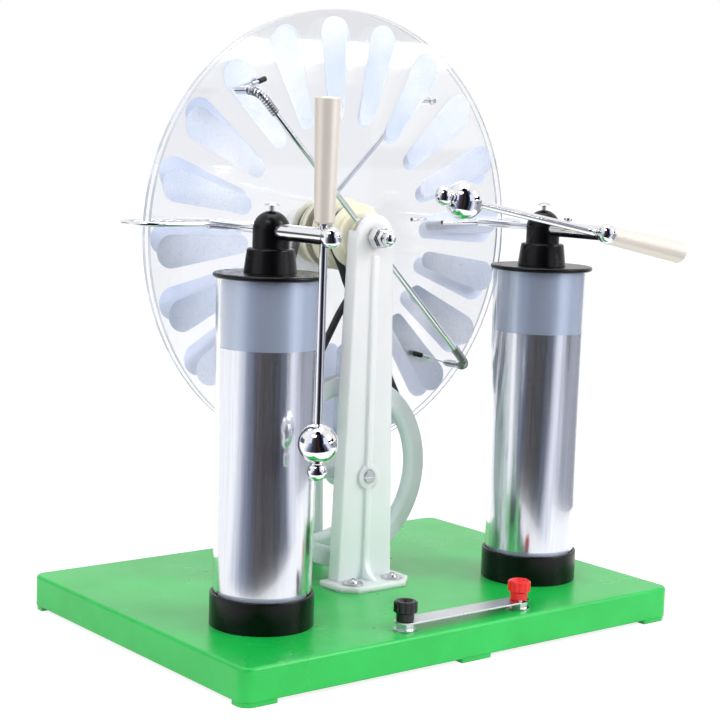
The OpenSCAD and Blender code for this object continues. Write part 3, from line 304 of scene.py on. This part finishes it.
looks = {
    "base_plate": green, "front_post": post, "rear_post": post,
    "post_screws": plain_steel, "post_washers": plain_steel, "disc_axle": chrome, "axle_nuts": chrome,
    "axle_spacers": plain_steel, "drive_bushes": white,
    "left_jar_foot": black, "right_jar_foot": black, "left_jar_tube": tube, "right_jar_tube": tube,
    "outer_foils": foil, "inner_jars": inner, "inner_foils": foil, "contact_rods": chrome,
    "left_jar_lid": black, "right_jar_lid": black, "left_jar_head": black, "right_jar_head": black,
    "left_collector": chrome, "right_collector": chrome, "collector_points": chrome, "head_screws": plain_steel,
    "front_belt": belt, "rear_belt": belt,
    "terminal_studs": chrome, "terminal_nuts": plain_steel, "contact_strips": brass, "jar_screws": plain_steel,
    "front_disc": disc, "front_sectors": sector, "front_hub": cream, "front_hub_bush": brass,
    "rear_disc": disc, "rear_sectors": far_sector, "rear_hub": cream, "rear_hub_bush": brass,
    "drive_shaft": plain_steel, "front_drive_wheel": white, "rear_drive_wheel": white,
    "crank_arm": plain_steel, "crank_pin": plain_steel, "crank_grip": black,
    "left_electrode_tube": chrome, "left_electrode_rod": chrome, "left_electrode_handle": handle,
    "right_electrode_tube": chrome, "right_electrode_rod": chrome, "right_electrode_handle": handle,
    "front_neutraliser_bar": chrome, "front_neutraliser_springs": spring_steel, "front_brushes": black_knob,
    "rear_neutraliser_bar": chrome, "rear_neutraliser_springs": spring_steel, "rear_brushes": black_knob,
    "black_knob": black_knob, "red_knob": red_knob, "link_strip": strip_metal,
}
for name, mat in looks.items():
    for slot in nodes[name].material_slots:
        slot.material = mat


# ---------- camera ----------

# Fitted to the photo: place in metres, turns in radians, lens and sensor in millimetres
CAMERA_AT = (-0.7276, -0.9186, 0.3279)
YAW, PITCH, ROLL = -0.6691, 0.1292, 0.0328
LENS, SENSOR = 87.6, 36.0
forward = Vector((-math.sin(YAW) * math.cos(PITCH), math.cos(YAW) * math.cos(PITCH), -math.sin(PITCH)))
right = Vector((math.cos(YAW), math.sin(YAW), 0.0))
up = right.cross(forward)
cam_x = math.cos(ROLL) * right + math.sin(ROLL) * up
cam_y = -math.sin(ROLL) * right + math.cos(ROLL) * up
cam_data = bpy.data.cameras.new("camera")
cam_data.lens = LENS
cam_data.sensor_width = SENSOR
cam_data.clip_start = 0.05
cam_data.clip_end = 50.0
cam = bpy.data.objects.new("camera", cam_data)
bpy.context.collection.objects.link(cam)
turn = Matrix((cam_x, cam_y, -forward)).transposed().to_4x4()
cam.matrix_world = Matrix.Translation(CAMERA_AT) @ turn
bpy.context.scene.camera = cam


# ---------- floor and lamps ----------

def white_floor():
    """Pale floor: mostly its own white towards the view, so that only soft shadows show on it."""
    b = Build("floor")
    path = b.node("ShaderNodeLightPath")
    seen = b.math("MAXIMUM", path.outputs["Is Camera Ray"], path.outputs["Is Glossy Ray"])
    seen = b.math("MAXIMUM", seen, path.outputs["Is Transmission Ray"])
    lit = b.node("ShaderNodeBsdfDiffuse")
    lit.inputs["Color"].default_value = (0.30, 0.30, 0.30, 1.0)
    far = b.node("ShaderNodeBsdfDiffuse")
    far.inputs["Color"].default_value = (0.85, 0.85, 0.86, 1.0)
    glow = b.node("ShaderNodeEmission")
    glow.inputs["Strength"].default_value = 0.84
    both = b.node("ShaderNodeAddShader")
    b.link(lit.outputs[0], both.inputs[0])
    b.link(glow.outputs[0], both.inputs[1])
    mix = b.node("ShaderNodeMixShader")
    b.link(seen, mix.inputs[0])
    b.link(far.outputs[0], mix.inputs[1])
    b.link(both.outputs[0], mix.inputs[2])
    return b.finish(mix.outputs[0])


def staged(name, verts, faces, mat):
    mesh = bpy.data.meshes.new(name)
    mesh.from_pydata(verts, [], faces)
    mesh.materials.append(mat)
    obj = bpy.data.objects.new(name, mesh)
    bpy.context.collection.objects.link(obj)
    return obj


FLOOR_HALF = 12.0
corners = [(-FLOOR_HALF, -FLOOR_HALF, 0), (FLOOR_HALF, -FLOOR_HALF, 0),
           (FLOOR_HALF, FLOOR_HALF, 0), (-FLOOR_HALF, FLOOR_HALF, 0)]
staged("floor", corners, [(0, 1, 2, 3)], white_floor())


def lamp(name, place, target, size, power):
    """A rectangular lamp aimed at a point; size in metres, power in watts."""
    data = bpy.data.lights.new(name, "AREA")
    data.shape = "RECTANGLE"
    data.size, data.size_y = size
    data.energy = power
    obj = bpy.data.objects.new(name, data)
    bpy.context.collection.objects.link(obj)
    obj.location = place
    obj.rotation_euler = (Vector(target) - Vector(place)).to_track_quat("-Z", "Y").to_euler()


lamp("key", (-2.2, -0.9, 2.0), (0, 0, 0.2), (1.3, 1.9), 33.0)
lamp("side", (1.5, -1.9, 1.3), (0, 0, 0.2), (0.7, 1.8), 38.0)
lamp("top", (0.2, 0.2, 2.6), (0, 0, 0.0), (1.6, 1.6), 16.0)


# ---------- the dark half of the studio behind the camera ----------

# Seen by gloss and a little by diffuse light, it gives the metal its dark bands and the round plastic its
# shading. Straight through a clear piece it is as white as the background, so it never shows behind a disc
# or a jar. Azimuths are in degrees from -Y towards +X.

CAMERA_SIDE = -38.5


def studio_glow(b, tone, diffuse_tone):
    path = b.node("ShaderNodeLightPath")
    direct = b.math("MULTIPLY", path.outputs["Is Transmission Ray"],
                    b.math("LESS_THAN", path.outputs["Glossy Depth"], 0.5))
    diffuse = (diffuse_tone, diffuse_tone, diffuse_tone * 1.03, 1.0)
    seen_tone = b.blend(path.outputs["Is Diffuse Ray"], b.blend(direct, tone, WHITE), diffuse)
    return b.finish(b.node("ShaderNodeEmission", Color=seen_tone).outputs[0])


def studio_tone(name, tone, diffuse_tone):
    """One cool grey: tone for gloss, diffuse_tone for the light it gives the object."""
    return studio_glow(Build(name), (tone * 0.93, tone * 0.97, tone * 1.12, 1.0), diffuse_tone)


def graded_tone(name, diffuse_tone, start, end, stops):
    """A studio wall whose tone changes with the azimuth, counted from the camera's side."""
    b = Build(name)
    place = b.node("ShaderNodeSeparateXYZ", Vector=b.coords)
    azimuth = b.math("ARCTAN2", place.outputs["X"], b.math("MULTIPLY", place.outputs["Y"], -1.0))
    along = b.spread(azimuth, 0.0, 1.0, math.radians(CAMERA_SIDE + start), math.radians(CAMERA_SIDE + end))
    marks = [((at - start) / (end - start), colour + (1.0,)) for at, colour in stops]
    return studio_glow(b, b.ramp(along, *marks), diffuse_tone)


def backdrop(name, mat, profile, start, end, steps=24):
    """A sheet swept round the object: profile holds (radius, height) pairs, start and end are azimuths."""
    verts, faces = [], []
    n = len(profile)
    for k in range(steps + 1):
        a = math.radians(start + (end - start) * k / steps)
        verts += [(r * math.sin(a), -r * math.cos(a), z) for r, z in profile]
    for k in range(steps):
        for i in range(n - 1):
            q = k * n + i
            faces.append((q, q + 1, q + n + 1, q + n))
    obj = staged(name, verts, faces, mat)
    obj.visible_camera = False
    obj.visible_shadow = False
    obj.visible_volume_scatter = False


dark = studio_tone("room_dark", 0.006, 0.78)
dusk = studio_tone("room_dusk", 0.13, 0.78)
half = studio_tone("room_half", 0.38, 0.78)
pale = studio_tone("room_pale", 0.62, 0.80)
bright = studio_tone("room_bright", 0.98, 0.85)
graded = graded_tone("room_graded", 0.78, -62.0, 66.0, [
    (-62, (0.96, 0.97, 1.00)), (-53, (0.80, 0.82, 0.90)), (-42, (0.26, 0.29, 0.40)),
    (-24, (0.040, 0.048, 0.085)), (-17, (0.060, 0.042, 0.044)), (-6, (0.020, 0.013, 0.014)),
    (5, (0.038, 0.027, 0.028)), (11, (0.006, 0.007, 0.013)), (25, (0.006, 0.007, 0.013)),
    (31, (0.080, 0.105, 0.170)), (38, (0.030, 0.036, 0.060)), (46, (0.50, 0.52, 0.60)),
    (52, (0.90, 0.92, 1.00))])

WALL_R = 2.3            # radius of the room's wall
CEILING = 4.2           # height of its ceiling
FLAG_R = 2.25           # dark flags stand before the wall, bright windows before the flags
WINDOW_R = 2.2
LOW = 0.004             # sheets on the floor lie this far above it

backdrop("room", graded, [(0.30, LOW), (WALL_R, LOW), (WALL_R, CEILING)], CAMERA_SIDE - 62, CAMERA_SIDE + 64, 48)
backdrop("room_top", dark, [(WALL_R, CEILING), (0.6, CEILING)], CAMERA_SIDE - 30, CAMERA_SIDE + 30)
backdrop("floor_pale", pale, [(0.45, LOW), (WALL_R, LOW), (WALL_R, 0.42)], CAMERA_SIDE + 64, CAMERA_SIDE + 78)
backdrop("floor_half", half, [(0.45, LOW), (WALL_R, LOW), (WALL_R, 0.30)], CAMERA_SIDE + 78, CAMERA_SIDE + 130)
backdrop("window_left", bright, [(WINDOW_R, 0.40), (WINDOW_R, 1.8)], CAMERA_SIDE - 60, CAMERA_SIDE - 34)
backdrop("window_right", bright, [(WINDOW_R, 0.30), (WINDOW_R, 1.8)], CAMERA_SIDE + 34, CAMERA_SIDE + 56)
backdrop("line_right", dark, [(FLAG_R, 0.50), (FLAG_R, 0.95)], CAMERA_SIDE + 62, CAMERA_SIDE + 104)
backdrop("line_back", dusk, [(FLAG_R, 0.10), (FLAG_R, 0.80)], -165, -118)
backdrop("room_low", dusk, [(1.30, 0.006), (1.30, 0.15)], 36, 52, 6)


# ---------- world: white to look at, weaker as light ----------

WORLD_LIGHT = 0.74
world = bpy.data.worlds.new("world")
bpy.context.scene.world = world
world.use_nodes = True
wt = world.node_tree
wt.nodes.clear()
w_out = wt.nodes.new("ShaderNodeOutputWorld")
w_mix = wt.nodes.new("ShaderNodeMixShader")
w_path = wt.nodes.new("ShaderNodeLightPath")
w_light = wt.nodes.new("ShaderNodeBackground")
w_light.inputs["Color"].default_value = WHITE
w_light.inputs["Strength"].default_value = WORLD_LIGHT
w_seen = wt.nodes.new("ShaderNodeBackground")
w_seen.inputs["Color"].default_value = WHITE
w_seen.inputs["Strength"].default_value = 1.0
seen = w_path.outputs["Is Camera Ray"]
for ray in ("Is Glossy Ray", "Is Transmission Ray"):
    step = wt.nodes.new("ShaderNodeMath")
    step.operation = "MAXIMUM"
    wt.links.new(seen, step.inputs[0])
    wt.links.new(w_path.outputs[ray], step.inputs[1])
    seen = step.outputs[0]
wt.links.new(seen, w_mix.inputs[0])
wt.links.new(w_light.outputs[0], w_mix.inputs[1])
wt.links.new(w_seen.outputs[0], w_mix.inputs[2])
wt.links.new(w_mix.outputs[0], w_out.inputs["Surface"])

bpy.context.scene.view_settings.view_transform = "Standard"
